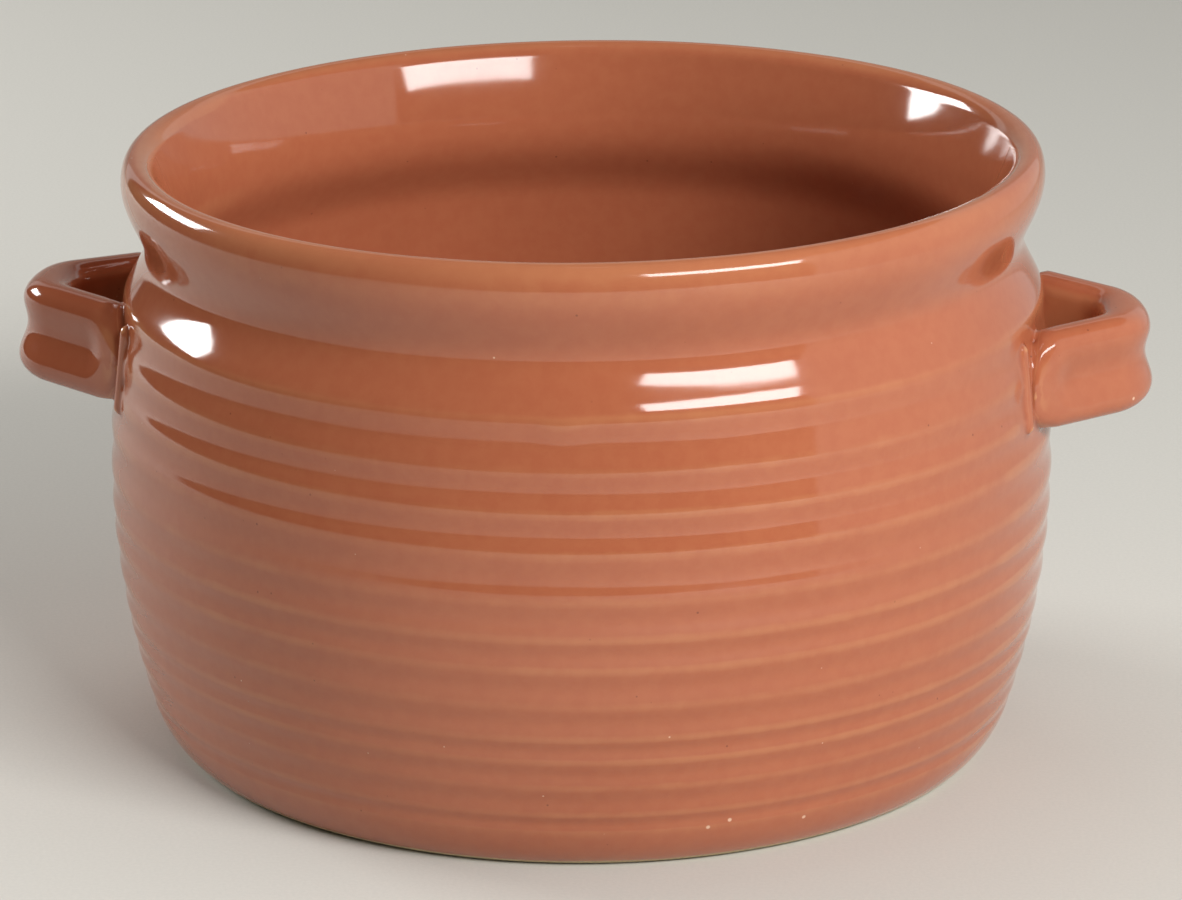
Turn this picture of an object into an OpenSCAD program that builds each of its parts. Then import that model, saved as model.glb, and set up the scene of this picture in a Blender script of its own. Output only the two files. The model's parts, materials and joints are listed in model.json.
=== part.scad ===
// Two-handled terracotta casserole: one fired and glazed piece.
// The wall is thrown, with a rolled rim, a narrow neck and finger ridges.
// Each handle is a grooved strap, bent to a loop and pressed onto the shoulder.
// +Z is up, the handles lie on the X axis, and the origin is the middle of the foot.

/* [Pot] */
// Height from the foot to the top of the rim
pot_h = 166; // [150:1:190]
// Diameter at the widest line of the belly
belly_d = 260; // [230:1:290]
// Height of the widest line of the belly
belly_z = 76; // [64:1:88]
// Radius of the long curve of the wall below the belly line
lower_curve_r = 214; // [170:1:300]
// Radius of the long curve of the wall above the belly line
upper_curve_r = 320; // [220:1:500]
// Thickness of the wall
wall_t = 7.5; // [6:0.1:9]
// Thickness of the floor
floor_t = 8; // [6:0.1:11]
// Reach of the round between the wall and the floor, inside
floor_round = 20; // [10:1:30]

/* [Foot] */
// How far the edge of the flat foot lies inside the belly's radius
foot_in = 20; // [12:0.5:30]
// Height at which the foot curve meets the wall
foot_curve_z = 12; // [8:0.5:16]

/* [Neck and rim] */
// Drop from the top of the rim to the shoulder's edge
shoulder_drop = 39.6; // [35:0.2:45]
// Drop from the top of the rim to the narrowest line of the neck
neck_drop = 25; // [21:0.5:29]
// How far the neck is drawn in from the belly's radius
neck_in = 11; // [6:0.5:15]
// How far the rolled rim stands out from the neck
rim_out = 6.8; // [4:0.2:10]
// Drop from the top of the rim to its widest line
rim_drop = 7.2; // [5:0.1:9]
// Thickness of the rolled rim
rim_t = 9; // [7.5:0.1:11]
// How far the top of the rim lies inside its widest line
crest_in = 4.2; // [3:0.1:5.5]
// Drop from the top of the rim to the inner edge of the lip
lip_drop = 3.8; // [2.5:0.1:5]

/* [Throwing ridges] */
// Number of finger grooves between the shoulder and the foot
groove_count = 12; // [8:1:16]
// Height of the highest groove for each unit of the lowest
groove_spread = 2.1; // [1:0.05:2.6]
// Depth of the highest groove
groove_deep = 0.65; // [0.2:0.05:1]
// Depth of the lowest groove
groove_shallow = 0.35; // [0.1:0.05:0.6]
// How far a ridge may stand off its even place, as thrown by hand
ridge_drift = 0.9; // [0:0.1:1.4]

/* [Handles] */
// How far a handle's tip stands out beyond the belly's radius
handle_out = 26.5; // [22:0.5:34]
// Drop from the top of the rim to the middle of the straps
strap_drop = 55.5; // [52:0.5:64]
// Height of the strap
strap_h = 27.5; // [22:0.5:30]
// Thickness of the strap
strap_t = 11; // [9:0.2:12]
// Radius of the strap's edges
strap_edge = 3.4; // [2:0.1:4]
// Flat left between the strap's edges and the groove along its outer face
groove_land = 0.8; // [0.4:0.1:3]
// Depth of the groove along the strap's outer face
strap_groove = 1.8; // [0.8:0.1:2.4]
// Radius of the bend at the tip, along the middle of the strap
tip_bend_r = 17; // [14:0.5:20]
// Turn from the tip to each leg, in degrees
leg_turn = 52; // [46:1:58]
// Depth of a strap end's middle under the wall's face
end_sink = 0.75; // [0:0.05:1.5]

/* [Clay rolls at the handle ends] */
// Radius of the roll pressed beside each strap end
roll_r = 3; // [2:0.1:4]
// How far the roll stands out of the wall
roll_rise = 1.3; // [0.6:0.1:1.8]
// Distance along the wall from the strap end's round to the middle of the roll
roll_gap = 5.8; // [4:0.1:8]
// How far the roll stops short of the strap's upper and lower edge
roll_short = 1; // [0:0.5:4]

/* [Hidden] */
$fn = 192;
glaze_color = [0.70, 0.36, 0.25];

belly_r = belly_d / 2;
foot_r = belly_r - foot_in;
shoulder_z = pot_h - shoulder_drop;
neck_r = belly_r - neck_in;
neck_z = pot_h - neck_drop;
rim_r = neck_r + rim_out;
rim_z = pot_h - rim_drop;
crest_r = rim_r - crest_in;
lip_r = rim_r - rim_t;
lip_z = pot_h - lip_drop;
throat_r = neck_r - wall_t;
strap_z = pot_h - strap_drop;
bend_x = belly_r + handle_out - strap_t / 2 - tip_bend_r;

// Steps of each short curve, each finger groove and the long inside wall
curve_steps = 10;
groove_steps = 8;
wall_steps = 16;

// A leg starts inside the bend by the lap, and its skin lies this far under the bend's
lap = 0.5;
skin = 0.02;

down = [0, -1];
up = [0, 1];
inward = [-1, 0];
outward = [1, 0];

// Point at t on a cubic curve through a and d, pulled towards b and c
function on_curve(a, b, c, d, t) =
    pow(1 - t, 3) * a + 3 * pow(1 - t, 2) * t * b + 3 * (1 - t) * t * t * c + pow(t, 3) * d;

// Curve that leaves a one way and reaches d another, without its last point
function curve(a, way_a, d, way_d, pull_a = 0.36, pull_d = 0.36) =
    let (b = a + way_a * norm(d - a) * pull_a, c = d - way_d * norm(d - a) * pull_d)
    [for (i = [0 : curve_steps - 1]) on_curve(a, b, c, d, i / curve_steps)];

// Smooth wall at height z, before the grooves: its radius, and the way up along it
function long_r(z) = z < belly_z ? lower_curve_r : upper_curve_r;
function wall_r(z) = belly_r - long_r(z) + sqrt(pow(long_r(z), 2) - pow(z - belly_z, 2));
function wall_way(z) = let (lean = asin((belly_z - z) / long_r(z))) [sin(lean), cos(lean)];
function wall_at(z, depth = 0) = [wall_r(z) - depth, z];

// Share of the grooved height above ridge i: grooves get narrower towards the foot
function groove_share(i) = let (n = groove_count, s = groove_spread)
    (s * i - (s - 1) * i * i / (2 * n)) / (n * (s + 1) / 2);

// Height of ridge i, counted down from the shoulder, with its drift by hand
function ridge_z(i) =
    shoulder_z - (shoulder_z - foot_curve_z) * groove_share(i)
    + (i > 0 && i < groove_count ? ridge_drift * sin(i * 108 + 152) : 0);

function groove_depth(i) =
    groove_deep + (groove_shallow - groove_deep) * i / (groove_count - 1);

// Points down one groove, from ridge i to just above the next one
function groove(i) = [
    for (j = [0 : groove_steps - 1])
        let (t = j / groove_steps, z = ridge_z(i) + (ridge_z(i + 1) - ridge_z(i)) * t)
        wall_at(z, groove_depth(i) * (1 - cos(360 * t)) / 2)
];

// Outside of the pot, from the top of the rim down to the middle of the foot
function outside() = concat(
    curve([crest_r, pot_h], outward, [rim_r, rim_z], down, 0.31, 0.5),
    curve([rim_r, rim_z], down, [neck_r, neck_z], down, 0.37, 0.27),
    curve([neck_r, neck_z], down, wall_at(shoulder_z), -wall_way(shoulder_z), 0.31, 0.33),
    [for (i = [0 : groove_count - 1]) each groove(i)],
    curve(wall_at(foot_curve_z), -wall_way(foot_curve_z), [foot_r, 0], inward, 0.4, 0.26),
    [[foot_r, 0], [0, 0]]
);

// Inside of the pot, from the middle of the floor up to the top of the rim
function inside() = let (
    low_z = floor_t + floor_round,
    high_z = shoulder_z - wall_t,
    low = wall_at(low_z, wall_t),
    high = wall_at(high_z, wall_t)
) concat(
    [[0, floor_t]],
    curve([low[0] - floor_round, floor_t], outward, low, wall_way(low_z), 0.45, 0.42),
    [for (i = [0 : wall_steps - 1]) wall_at(low_z + (high_z - low_z) * i / wall_steps, wall_t)],
    curve(high, wall_way(high_z), [throat_r, neck_z], up),
    curve([throat_r, neck_z], up, [lip_r, lip_z], up + 0.35 * outward, 0.36, 0.19),
    curve([lip_r, lip_z], up + 0.35 * outward, [crest_r, pot_h], outward, 0.38, 0.4)
);

// Quarter round of a strap's edge about a point, from one angle to the next
function edge_round(x, y, from) = [
    for (i = [0 : 5])
        [x + strap_edge * cos(from + 18 * i), y + strap_edge * sin(from + 18 * i)]
];

// Section of the strap, outer face towards +X, with its groove, drawn in by the inset
function strap_section(inset) = let (
    half_t = strap_t / 2 - inset,
    x = half_t - strap_edge,
    y = strap_h / 2 - inset - strap_edge,
    groove_w = 2 * (y - groove_land),
    steps = 14
) concat(
    edge_round(x, -y, -90),
    [for (i = [1 : steps - 1]) let (t = i / steps)
        [half_t - strap_groove * (1 - cos(360 * t)) / 2, groove_w * (t - 0.5)]],
    edge_round(x, y, 0),
    edge_round(-x, y, 90),
    edge_round(-x, -y, 180)
);

// The leg runs from the end of the tip bend to the wall. Where it starts, and how far
// it goes until its middle line lies under the wall's face by the end's sink
leg_start = [bend_x + tip_bend_r * cos(leg_turn), tip_bend_r * sin(leg_turn)];
leg_way = [-sin(leg_turn), cos(leg_turn)];
seat_r = wall_r(strap_z) - end_sink;
leg_slope = leg_start * leg_way;
leg_l = -leg_slope - sqrt(pow(leg_slope, 2) - leg_start * leg_start + pow(seat_r, 2));
leg_end = leg_start + leg_way * leg_l;
end_angle = atan2(leg_end[1], leg_end[0]);

module pot_wall() {
    color(glaze_color)
        rotate_extrude()
            polygon(concat(outside(), inside()));
}

// Bend of the strap around the tip of the loop
module tip_bend() {
    rotate_extrude(angle = 2 * leg_turn, start = -leg_turn, $fn = 96)
        translate([tip_bend_r, 0])
            polygon(strap_section(0));
}

// Straight leg of the strap, along +Y from the end of the tip bend
module strap_leg() {
    translate([tip_bend_r, -lap, 0])
        rotate([90, 0, 180])
            mirror([1, 0, 0])
                linear_extrude(height = leg_l + lap)
                    polygon(strap_section(skin));
}

// Rounded end of a leg, turned from the outer half of the same section
module strap_end() {
    translate([tip_bend_r, leg_l, 0])
        rotate_extrude(angle = 90, $fn = 96)
            intersection() {
                polygon(strap_section(skin));
                translate([0, -strap_h])
                    square([strap_t, 2 * strap_h]);
            }
}

// Roll of clay pressed onto the wall beside a strap end, leaning with the wall
module clay_roll() {
    half = strap_h / 2 - roll_r - roll_short;
    turn = end_angle + (strap_t / 2 + roll_gap) / seat_r * 180 / PI;
    lean = asin((belly_z - strap_z) / long_r(strap_z));
    rotate([0, 0, turn])
        translate([wall_r(strap_z) + roll_rise - roll_r, 0, strap_z])
            rotate([0, lean, 0]) {
                cylinder(h = 2 * half, r = roll_r, center = true, $fn = 32);
                for (side = [-1, 1])
                    translate([0, 0, side * half])
                        sphere(r = roll_r, $fn = 32);
            }
}

// One handle on the +X side, with its two legs, two ends and two clay rolls
module handle() {
    color(glaze_color) {
        translate([bend_x, 0, strap_z]) {
            tip_bend();
            for (side = [0, 1])
                mirror([0, side, 0])
                    rotate([0, 0, leg_turn]) {
                        strap_leg();
                        strap_end();
                    }
        }
        for (side = [0, 1])
            mirror([0, side, 0])
                clay_roll();
    }
}

module casserole() {
    union() {
        pot_wall();
        for (turn = [0, 180])
            rotate([0, 0, turn])
                handle();
    }
}

casserole();
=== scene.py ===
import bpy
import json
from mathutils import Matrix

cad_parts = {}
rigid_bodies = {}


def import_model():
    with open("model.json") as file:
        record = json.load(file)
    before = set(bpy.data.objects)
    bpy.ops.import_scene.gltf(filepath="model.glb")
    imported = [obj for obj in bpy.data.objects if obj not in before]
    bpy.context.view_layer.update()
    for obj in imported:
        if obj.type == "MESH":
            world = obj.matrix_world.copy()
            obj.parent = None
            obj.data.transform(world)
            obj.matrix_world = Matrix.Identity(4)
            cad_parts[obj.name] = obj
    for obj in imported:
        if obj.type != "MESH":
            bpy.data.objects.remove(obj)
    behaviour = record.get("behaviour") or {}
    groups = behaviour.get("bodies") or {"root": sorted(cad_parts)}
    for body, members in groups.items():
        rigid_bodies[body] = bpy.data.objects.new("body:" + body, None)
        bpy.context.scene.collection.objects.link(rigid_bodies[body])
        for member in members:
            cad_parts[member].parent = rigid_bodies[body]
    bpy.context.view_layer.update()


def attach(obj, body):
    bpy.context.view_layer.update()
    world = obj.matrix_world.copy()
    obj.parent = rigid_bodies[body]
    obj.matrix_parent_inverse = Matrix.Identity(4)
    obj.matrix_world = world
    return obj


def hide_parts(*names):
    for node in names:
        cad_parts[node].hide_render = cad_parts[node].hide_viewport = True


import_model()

import json
import math

import bpy
import numpy as np
from mathutils import Quaternion, Vector

bl_info = {
    "name": "Terracotta casserole",
    "version": (1, 0, 0),
    "blender": (4, 5, 0),
    "location": "3D View > Sidebar > Casserole",
    "description": "Throws, handles and glazes a two-handled terracotta casserole",
    "category": "Add Mesh",
}

MM = 0.001
# points this near to a plane are on it, and points this near to each other are one
ON_PLANE = 0.01 * MM
ONE_POINT = 0.002 * MM
# turns of the pot's line in degrees and the steps of each, finest where the handles join
WALL_TURNS = ((25, 32), (130, 80), (50, 64), (130, 80), (25, 32))
DOWN, UP, INWARD, OUTWARD = (0, -1), (0, 1), (-1, 0), (1, 0)


def length(name, description, millimetres):
    """A size in metres that the sidebar shows as a length."""
    return bpy.props.FloatProperty(
        name=name, description=description, default=millimetres * MM, precision=5, unit="LENGTH"
    )


def number(name, description, default, low=0.0, high=1.0):
    return bpy.props.FloatProperty(name=name, description=description, default=default, min=low, max=high)


def count(name, description, default):
    return bpy.props.IntProperty(name=name, description=description, default=default, min=1)


def angle(name, description, degrees):
    return bpy.props.FloatProperty(
        name=name, description=description, default=math.radians(degrees), precision=4, subtype="ANGLE"
    )


def position(name, description, x, y, z):
    """A place or a move, given in millimetres."""
    return bpy.props.FloatVectorProperty(
        name=name, description=description, default=(x * MM, y * MM, z * MM), size=3, subtype="TRANSLATION"
    )


def colour(name, description, red, green, blue):
    return bpy.props.FloatVectorProperty(
        name=name, description=description, default=(red, green, blue), size=3, min=0, max=1, subtype="COLOR"
    )


class PotSizes(bpy.types.PropertyGroup):
    """Sizes of the thrown pot: the solid's, with the neck as soft as the glaze leaves it."""

    height: length("Height", "From the foot to the top of the rim", 166)
    belly_r: length("Belly radius", "Radius at the widest line of the belly", 130)
    belly_z: length("Belly height", "Height of the widest line of the belly", 76)
    lower_curve_r: length("Lower curve", "Radius of the wall's long curve below the belly line", 214)
    upper_curve_r: length("Upper curve", "Radius of the wall's long curve above the belly line", 320)
    wall_t: length("Wall", "Thickness of the wall", 7.5)
    floor_t: length("Floor", "Thickness of the floor", 8)
    floor_round: length("Floor round", "Round between the wall and the floor, inside", 20)
    foot_r: length("Foot radius", "Radius of the flat foot", 110)
    foot_curve_z: length("Foot curve", "Height at which the foot curve meets the wall", 12)
    shoulder_z: length("Shoulder", "Height of the shoulder's edge", 126.4)
    neck_r: length("Neck radius", "Radius at the narrowest line of the neck", 120.1)
    neck_z: length("Neck height", "Height of the narrowest line of the neck", 140.4)
    slope_r: length("Slope radius", "Radius half way down the slope from the neck to the shoulder", 123.8)
    slope_z: length("Slope height", "Height of that place", 131.2)
    slope_lean: angle("Slope lean", "Lean of the slope there", 29.5)
    throat_r: length("Throat", "Inner radius at the neck", 111.5)
    rim_r: length("Rim radius", "Radius at the widest line of the rolled rim", 125.8)
    rim_z: length("Rim height", "Height of the rim's widest line", 158.8)
    crest_r: length("Crest radius", "Radius of the top of the rim", 121.6)
    lip_r: length("Lip radius", "Radius of the inner edge of the lip", 116.8)
    lip_z: length("Lip height", "Height of the inner edge of the lip", 162.2)
    groove_count: count("Grooves", "Finger grooves between the shoulder and the foot", 12)
    groove_spread: number(
        "Groove spread", "Height of the highest groove for each unit of the lowest", 2.1, 1, 3
    )
    groove_deep: length("Deepest groove", "Depth of the highest groove", 0.65)
    groove_shallow: length("Shallowest groove", "Depth of the lowest groove", 0.35)
    ridge_drift: length("Ridge drift", "How far a ridge may stand off its even place", 0.9)
    unevenness: length("Unevenness", "Swell and dip of the wall left by the hands", 0.16)
    swell_size: length("Swell size", "How wide such a swell is", 45)
    rim_lean: angle("Rim lean", "How far the rim stands off level, its right side higher", 0.7)
    rim_shift: length("Rim shift", "How far the rim stands off the axis, to the right", 0.5)
    rim_fade: length("Rim fade", "Distance below the neck over which the lean fades", 40)
    crease: angle("Crease", "Turn past which a joint is softened", 24)
    thumb_mark: position("Thumb mark", "Where a thumb dented the right handle", 139, -24.6, 103)
    thumb_push: position("Thumb push", "How the thumb moved the clay", -0.3, 0.4, 0)
    thumb_fade: length("Thumb fade", "Distance over which the dent fades", 7)
    ridge_wave: position("Ridge wave", "Where the ridge below the shoulder is wavy", 2.5, -126, 124.5)
    wave_push: position("Wave push", "How the ridge was moved there", 0, -0.35, -0.5)
    wave_fade: length("Wave fade", "Distance over which that wave fades", 8)


class HandleSizes(bpy.types.PropertyGroup):
    """Sizes of the strap handles and of the clay rolls beside their ends."""

    strap_z: length("Handle height", "Height of the middle of the straps", 110.5)
    strap_h: length("Strap height", "Height of the strap", 27.5)
    strap_t: length("Strap thickness", "Thickness of the strap", 11)
    strap_edge: length("Strap edge", "Radius of the strap's edges", 4.9)
    groove_land: length("Land", "Flat left between the strap's edges and its groove", 0.2)
    groove_depth: length("Groove depth", "Depth of the groove along the strap's outer face", 1.8)
    groove_stop: length("Groove stop", "Distance from the strap's end to the end of its groove", 6)
    groove_fade: length("Groove fade", "Length over which the groove runs out", 8)
    tongue_r: length("Tongue", "Radius of the corners of the strap's ends", 9.5)
    tongue_reach: length("Tongue reach", "How far the outer half of an end runs on along the wall", 4.2)
    tongue_low: length("Tongue low", "How far the middle of an end lies below the strap's middle", 4.5)
    tongue_edge: length("Tongue edge", "Radius of the edge round an end", 1.1)
    strap_lean: angle("Strap lean", "How far the straps lean in at the top", 3)
    tip_swell: length("Tip swell", "Extra clay inside the tip bend", 3.5)
    tip_swell_r: length("Tip swell reach", "Distance over which that swelling fades", 15)
    ring_gap: length("Ring gap", "Distance between the strap's rings along a leg", 1.1)
    hinge_x: length("Hinge", "Distance from the pot's axis to the line a handle is tilted about", 105)
    right_roll: angle("Right handle roll", "How far the right handle's front end stands lower", 1.4)
    left_x: length("Left handle in", "How far the left handle sits nearer to the pot", 0.8)
    left_z: length("Left handle up", "How far the left handle sits higher", 0.3)
    left_rise: angle("Left handle rise", "How far the left handle's tip points up", 2.3)
    left_roll: angle("Left handle roll", "How far the left handle's front end stands higher", 1.2)
    bend_x: length("Bend centre", "Distance from the pot's axis to the middle of the tip bend", 134)
    bend_r: length("Tip bend", "Radius of the tip bend along the middle of the strap", 17)
    leg_turn: angle("Leg turn", "Turn from the tip to each leg", 52)
    end_sink: length("End sink", "Depth of a strap end's middle under the wall's face", 0.75)
    roll_r: length("Roll radius", "Radius of the clay roll beside a strap end", 2.4)
    roll_rise: length("Roll rise", "How far a clay roll stands out of the wall", 1.2)
    roll_gap: length("Roll gap", "Distance along the wall from the strap end's round to the roll", 4.9)
    roll_short: length("Roll short", "How far a roll stops short of the strap's edges", 1)


class GlazeColours(bpy.types.PropertyGroup):
    """Colours of the glaze and the bare clay, and the places of this pot's own marks."""

    glaze: colour("Glaze", "Terracotta glaze where it lies even", 0.40, 0.118, 0.056)
    # darker glaze for hollows and blotches, also painted as shade over the left handle
    pooled_and_shade: colour("Pooled glaze", "Darker glaze where it gathers in hollows", 0.28, 0.067, 0.029)
    thin: colour("Thin glaze", "Paler glaze where it thins over ridges and edges", 0.53, 0.235, 0.105)
    bare: colour("Bare clay", "Unglazed buff clay at the foot", 0.58, 0.47, 0.27)
    speck: colour("Specks", "Dark iron specks", 0.10, 0.03, 0.018)
    pinhole: colour("Pinholes", "Pale pinholes", 0.72, 0.47, 0.33)
    scar: colour("Scar", "Dark red scar low on the right", 0.13, 0.02, 0.012)
    dot_handle: position("Handle dot", "Pale dot on the right handle", 151.2, -14.5, 101)
    dot_low: position("Low dot", "Pale dot above the foot", 41, -113, 12)
    dot_mid: position("Middle dot", "Second pale dot above the foot", 46.5, -111, 13.5)
    dot_right: position("Right dot", "Third pale dot above the foot", 65.5, -100, 10.5)
    scar_place: position("Scar place", "Middle of the dark scar", 120.7, -23.4, 23)
    dot_r: length("Dot radius", "Radius of the pale dots", 0.7)
    scar_r: length("Scar radius", "Half the width of the dark scar", 0.8)
    gloss: number("Gloss", "Roughness of the glaze", 0.085)


class StageSettings(bpy.types.PropertyGroup):
    """Floor, dark surround, world and camera."""

    floor: colour("Floor", "Pale paper that the pot stands on", 0.63, 0.615, 0.565)
    shade: colour("Surround", "Dark surround that only the glaze mirrors", 0.012, 0.012, 0.012)
    room_r: length("Surround radius", "Radius of the dark surround", 3400)
    room_z: length("Surround height", "Height of its ceiling", 3000)
    room_drop: length("Surround drop", "Height of its wall, below the ceiling", 3600)
    room_from: angle("Surround from", "Where its wall begins, turned from the front", -147)
    room_to: angle("Surround to", "Where its wall ends, turned from the front", 64)
    far_glow: number("Far glow", "Strength of the world as the glaze and the camera see it", 0.62)
    near_glow: number("Near glow", "Strength of the world as it lights the pot", 0.11)
    camera_distance: length("Camera distance", "From the pot's axis, level", 1375.1)
    camera_height: length("Camera height", "Above the floor", 519.3)
    camera_turn: angle("Camera turn", "Round the pot from the front", 4.0)
    camera_pitch: angle("Camera pitch", "Below level", 17.79)
    camera_roll: angle("Camera roll", "About its own axis", -0.08)
    camera_aim: angle("Camera aim", "How far it looks to the right of the pot's axis", 0.083)
    lens: number("Lens", "Focal length in millimetres", 158.38, 20, 400)
    sensor: number("Sensor", "Width of the camera's frame in millimetres", 36, 10, 60)


# The pot's line


def curve(a, way_a, d, way_d, pull_a=0.36, pull_d=0.36, steps=12):
    """Points of a curve that leaves a one way and reaches d another, without the last."""
    a, way_a, d, way_d = (Vector(v) for v in (a, way_a, d, way_d))
    reach = (d - a).length
    b, c = a + way_a * reach * pull_a, d - way_d * reach * pull_d
    line = []
    for i in range(steps):
        t = i / steps
        s = 1 - t
        line.append(s ** 3 * a + 3 * s * s * t * b + 3 * s * t * t * c + t ** 3 * d)
    return line


def long_r(pot, z):
    return pot.lower_curve_r if z < pot.belly_z else pot.upper_curve_r


def wall_at(pot, z, depth=0.0):
    """Point on the smooth wall at height z, this far under its face."""
    r = long_r(pot, z)
    return Vector((pot.belly_r - r + math.sqrt(r * r - (z - pot.belly_z) ** 2) - depth, z))


def wall_way(pot, z):
    """The way up along the wall at height z."""
    lean = math.asin((pot.belly_z - z) / long_r(pot, z))
    return Vector((math.sin(lean), math.cos(lean)))


def ridge_z(pot, i):
    """Height of ridge i, counted down from the shoulder, with its drift by hand."""
    n, s = pot.groove_count, pot.groove_spread
    share = (s * i - (s - 1) * i * i / (2 * n)) / (n * (s + 1) / 2)
    drift = pot.ridge_drift * math.sin(math.radians(i * 108 + 152)) if 0 < i < n else 0
    return pot.shoulder_z - (pot.shoulder_z - pot.foot_curve_z) * share + drift


def groove(pot, i, steps=10):
    """Points down one finger groove, from ridge i to just above the next one."""
    deep = pot.groove_deep + (pot.groove_shallow - pot.groove_deep) * i / (pot.groove_count - 1)
    top, low = ridge_z(pot, i), ridge_z(pot, i + 1)
    line = []
    for j in range(steps):
        t = j / steps
        line.append(wall_at(pot, top + (low - top) * t, deep * (1 - math.cos(2 * math.pi * t)) / 2))
    return line


def outside_line(pot):
    """Outside of the pot from the top of the rim to the middle of the foot."""
    crest, rim, neck = (pot.crest_r, pot.height), (pot.rim_r, pot.rim_z), (pot.neck_r, pot.neck_z)
    shoulder, foot_top = wall_at(pot, pot.shoulder_z), wall_at(pot, pot.foot_curve_z)
    line = curve(crest, OUTWARD, rim, DOWN, 0.31, 0.5, 14)
    line += curve(rim, DOWN, neck, DOWN, 0.37, 0.27, 18)
    slope, lean = (pot.slope_r, pot.slope_z), pot.slope_lean
    way = (math.sin(lean), -math.cos(lean))
    line += curve(neck, DOWN, slope, way, 0.27, 0.39, 12)
    line += curve(slope, way, shoulder, -wall_way(pot, pot.shoulder_z), 0.16, 0.29, 12)
    for i in range(pot.groove_count):
        line += groove(pot, i)
    line += curve(foot_top, -wall_way(pot, pot.foot_curve_z), (pot.foot_r, 0), INWARD, 0.4, 0.26, 16)
    return line + [Vector((pot.foot_r * share, 0)) for share in (1, 0.985, 0.95, 0.8, 0.55, 0.3, 0.12, 0)]


def inside_line(pot):
    """Inside of the pot from the middle of the floor to the top of the rim."""
    low_z = pot.floor_t + pot.floor_round
    high_z = pot.shoulder_z - pot.wall_t
    low, high = wall_at(pot, low_z, pot.wall_t), wall_at(pot, high_z, pot.wall_t)
    throat, lip, lip_way = (pot.throat_r, pot.neck_z), (pot.lip_r, pot.lip_z), (0.35, 1)
    flat_r = low[0] - pot.floor_round
    line = [Vector((flat_r * share, pot.floor_t)) for share in (0, 0.15, 0.4, 0.65, 0.85, 0.95)]
    line += curve((flat_r, pot.floor_t), OUTWARD, low, wall_way(pot, low_z), 0.45, 0.42, 16)
    steps = 24
    for i in range(steps):
        line.append(wall_at(pot, low_z + (high_z - low_z) * i / steps, pot.wall_t))
    line += curve(high, wall_way(pot, high_z), throat, UP, steps=14)
    line += curve(throat, UP, lip, lip_way, 0.36, 0.19, 18)
    return line + curve(lip, lip_way, (pot.crest_r, pot.height), OUTWARD, 0.38, 0.4, 12)


# Modelling steps


def deselect():
    if bpy.context.object and bpy.context.object.mode != "OBJECT":
        bpy.ops.object.mode_set(mode="OBJECT")
    bpy.ops.object.select_all(action="DESELECT")


def pick(*pieces):
    """Selects these objects alone; the last one becomes active."""
    deselect()
    for piece in pieces:
        piece.select_set(True)
    bpy.context.view_layer.objects.active = pieces[-1]


def same(here, there):
    """Whether two places along a line are one."""
    return abs(here - there) < ON_PLANE


def draw_line(name, points):
    """Draws a line in the XZ plane, corner by corner, and stays in edit mode."""
    deselect()
    bpy.ops.mesh.primitive_plane_add(size=MM)
    piece = bpy.context.object
    piece.name = piece.data.name = name
    bpy.ops.object.mode_set(mode="EDIT")
    bpy.ops.mesh.select_mode(type="VERT")
    bpy.ops.mesh.select_all(action="SELECT")
    bpy.ops.mesh.merge(type="CENTER")
    x, z = points[0]
    bpy.ops.transform.translate(value=(x, 0, z))
    for there in points[1:]:
        step = (there[0] - x, 0, there[1] - z)
        bpy.ops.mesh.extrude_vertices_move(TRANSFORM_OT_translate={"value": step})
        x, z = there
    return piece


def select_points(piece, wanted, mode="VERT"):
    """In edit mode, selects the points whose place passes the test."""
    bpy.ops.mesh.select_mode(type="VERT")
    bpy.ops.mesh.select_all(action="DESELECT")
    bpy.ops.object.mode_set(mode="OBJECT")
    for point in piece.data.vertices:
        point.select = wanted(point.co)
    bpy.ops.object.mode_set(mode="EDIT")
    if mode != "VERT":
        bpy.ops.mesh.select_mode(type=mode)


def select_faces(piece, wanted):
    """In edit mode, selects the faces whose middle passes the test."""
    bpy.ops.mesh.select_mode(type="FACE")
    bpy.ops.mesh.select_all(action="DESELECT")
    bpy.ops.object.mode_set(mode="OBJECT")
    for face in piece.data.polygons:
        face.select = wanted(face.center)
    bpy.ops.object.mode_set(mode="EDIT")


def close_and_face_out():
    """Merges the seams and poles, turns the faces outward and leaves edit mode."""
    bpy.ops.mesh.select_mode(type="VERT")
    bpy.ops.mesh.select_all(action="SELECT")
    bpy.ops.mesh.remove_doubles(threshold=ONE_POINT)
    bpy.ops.mesh.dissolve_degenerate(threshold=ONE_POINT)
    bpy.ops.mesh.normals_make_consistent(inside=False)
    bpy.ops.object.mode_set(mode="OBJECT")


def put_in_order():
    """In edit mode, sorts points, edges and faces by their distance from a far place.

    Extrude and spin leave them in an order that differs from run to run, and a connected
    proportional move depends on it.
    """
    cursor = bpy.context.scene.cursor
    bpy.ops.mesh.select_all(action="SELECT")
    cursor.location = (0.31, 0.17, 0.43)
    bpy.ops.mesh.sort_elements(type="CURSOR_DISTANCE", elements={"VERT", "EDGE", "FACE"})
    cursor.location = (0, 0, 0)


def apply_modifier(piece, kind, **settings):
    """Adds one modifier with these settings and applies it."""
    pick(piece)
    bpy.ops.object.modifier_add(type=kind)
    modifier = piece.modifiers[-1]
    for key, value in settings.items():
        setattr(modifier, key, value)
    bpy.ops.object.modifier_apply(modifier=modifier.name)


# Pieces


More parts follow.
